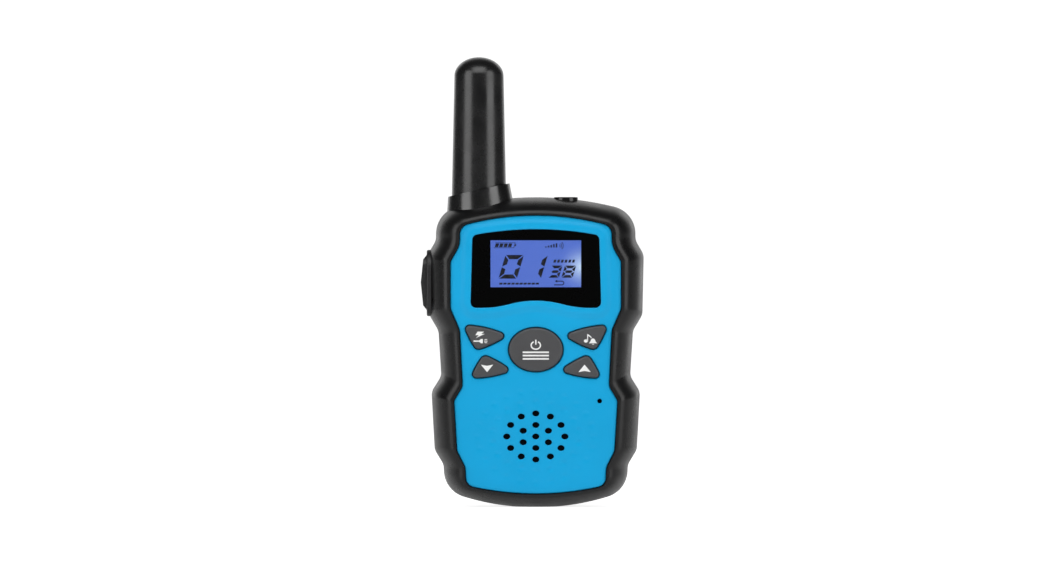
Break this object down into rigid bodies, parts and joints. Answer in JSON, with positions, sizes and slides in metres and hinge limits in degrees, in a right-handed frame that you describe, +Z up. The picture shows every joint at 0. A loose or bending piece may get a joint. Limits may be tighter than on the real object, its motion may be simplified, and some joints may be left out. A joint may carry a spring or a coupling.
{
  "type": "toy walkie talkie",
  "caption": "Handheld toy two-way radio with stub aerial, backlit display, rubber-domed keys, speaker grille, side talk button, battery door and belt clip.",
  "frame": {"origin": "middle of the flat foot, on the plane where the two case halves meet", "axes": "+Z up along the aerial, -Y towards the user (display side), aerial on the -X side"},
  "size_m": [0.0719, 0.0397, 0.145],
  "materials": {
    "case_black": "satin moulded plastic",
    "plate_blue": "satin-gloss moulded plastic",
    "lens_clear": "clear acrylic",
    "mask_black": "printed gloss black",
    "lcd": "backlit liquid crystal panel",
    "white_plastic": "satin",
    "key_grey": "satin moulded plastic with white printed marks",
    "silicone": "translucent silicone",
    "board_green": "solder mask",
    "tin_steel": "tin plated",
    "chip_black": "moulded epoxy",
    "capacitor_can": "sleeved can",
    "basket_steel": "black coated steel",
    "magnet": "plated ferrite",
    "cone_paper": "pressed paper cone",
    "mesh_cloth": "woven dust cloth",
    "antenna_rubber": "satin moulded rubber",
    "copper": "enamelled copper",
    "brass": "turned",
    "lamp_clear": "clear acrylic",
    "collar_black": "semi-gloss moulded plastic",
    "felt": "black felt",
    "bezel_black": "glossy moulded plastic",
    "led_epoxy": "clear epoxy",
    "black_rubber": "soft-touch",
    "battery_wrap": "plain wrapped cell",
    "nickel": "nickel plated",
    "screw_steel": "zinc plated",
    "wire_red": "insulated wire",
    "wire_black": "insulated wire"
  },
  "bodies": {
    "handset": {"front_case": "case_black", "rear_case": "case_black", "case_screws": "screw_steel", "face_plate": "plate_blue", "display_lens": "lens_clear", "display_mask": "mask_black", "lcd_glass": "lcd", "lcd_frame": "white_plastic", "backlight_panel": "white_plastic", "key_mat": "silicone", "main_board": "board_green", "radio_shield": "tin_steel", "chips": "chip_black", "crystal": "tin_steel", "capacitors": "capacitor_can", "board_screws": "screw_steel", "speaker_basket": "basket_steel", "speaker_magnet": "magnet", "speaker_cone": "cone_paper", "speaker_mesh": "mesh_cloth", "mic_felt": "felt", "mic_capsule": "tin_steel", "mic_boot": "black_rubber", "antenna_cover": "antenna_rubber", "antenna_core": "white_plastic", "antenna_winding": "copper", "antenna_stud": "brass", "antenna_collar": "collar_black", "antenna_nut": "brass", "lamp_lens": "lamp_clear", "lamp_bezel": "bezel_black", "lamp_led": "led_epoxy", "lamp_leads": "tin_steel", "ptt_surround": "black_rubber", "ptt_board": "board_green", "ptt_dome": "silicone", "battery_left": "battery_wrap", "battery_middle": "battery_wrap", "battery_right": "battery_wrap", "battery_springs": "nickel", "battery_contacts": "nickel", "antenna_lead": "wire_black", "battery_leads": "wire_red", "speaker_leads": "wire_red"},
    "menu_key": {"menu_key": "key_grey"},
    "lamp_key": {"lamp_key": "key_grey"},
    "call_key": {"call_key": "key_grey"},
    "down_key": {"down_key": "key_grey"},
    "up_key": {"up_key": "key_grey"},
    "ptt_button": {"ptt_button": "black_rubber"},
    "battery_door": {"battery_door": "case_black"},
    "belt_clip": {"belt_clip": "case_black"}
  },
  "joints": [
    {"name": "menu_key_press", "type": "slide", "parent": "handset", "child": "menu_key", "axis": [0, 1, 0], "range_m": [0, 0.0008], "stiffness_N_per_m": 400, "springref_m": -0.0005, "deforming": ["key_mat"]},
    {"name": "lamp_key_press", "type": "slide", "parent": "handset", "child": "lamp_key", "axis": [0, 1, 0], "range_m": [0, 0.0008], "stiffness_N_per_m": 400, "springref_m": -0.0005, "deforming": ["key_mat"]},
    {"name": "call_key_press", "type": "slide", "parent": "handset", "child": "call_key", "axis": [0, 1, 0], "range_m": [0, 0.0008], "stiffness_N_per_m": 400, "springref_m": -0.0005, "deforming": ["key_mat"]},
    {"name": "down_key_press", "type": "slide", "parent": "handset", "child": "down_key", "axis": [0, 1, 0], "range_m": [0, 0.0008], "stiffness_N_per_m": 400, "springref_m": -0.0005, "deforming": ["key_mat"]},
    {"name": "up_key_press", "type": "slide", "parent": "handset", "child": "up_key", "axis": [0, 1, 0], "range_m": [0, 0.0008], "stiffness_N_per_m": 400, "springref_m": -0.0005, "deforming": ["key_mat"]},
    {"name": "ptt_press", "type": "slide", "parent": "handset", "child": "ptt_button", "axis": [1, 0, 0], "range_m": [0, 0.0012], "stiffness_N_per_m": 600, "springref_m": -0.0006, "deforming": ["ptt_dome"]},
    {"name": "battery_door_hinge", "type": "hinge", "parent": "handset", "child": "battery_door", "pos_m": [0, 0.0129, 0.008], "axis": [-1, 0, 0], "range_deg": [0, 85]},
    {"name": "belt_clip_slide", "type": "slide", "parent": "handset", "child": "belt_clip", "axis": [0, 0, 1], "range_m": [0, 0.03]}
  ]
}
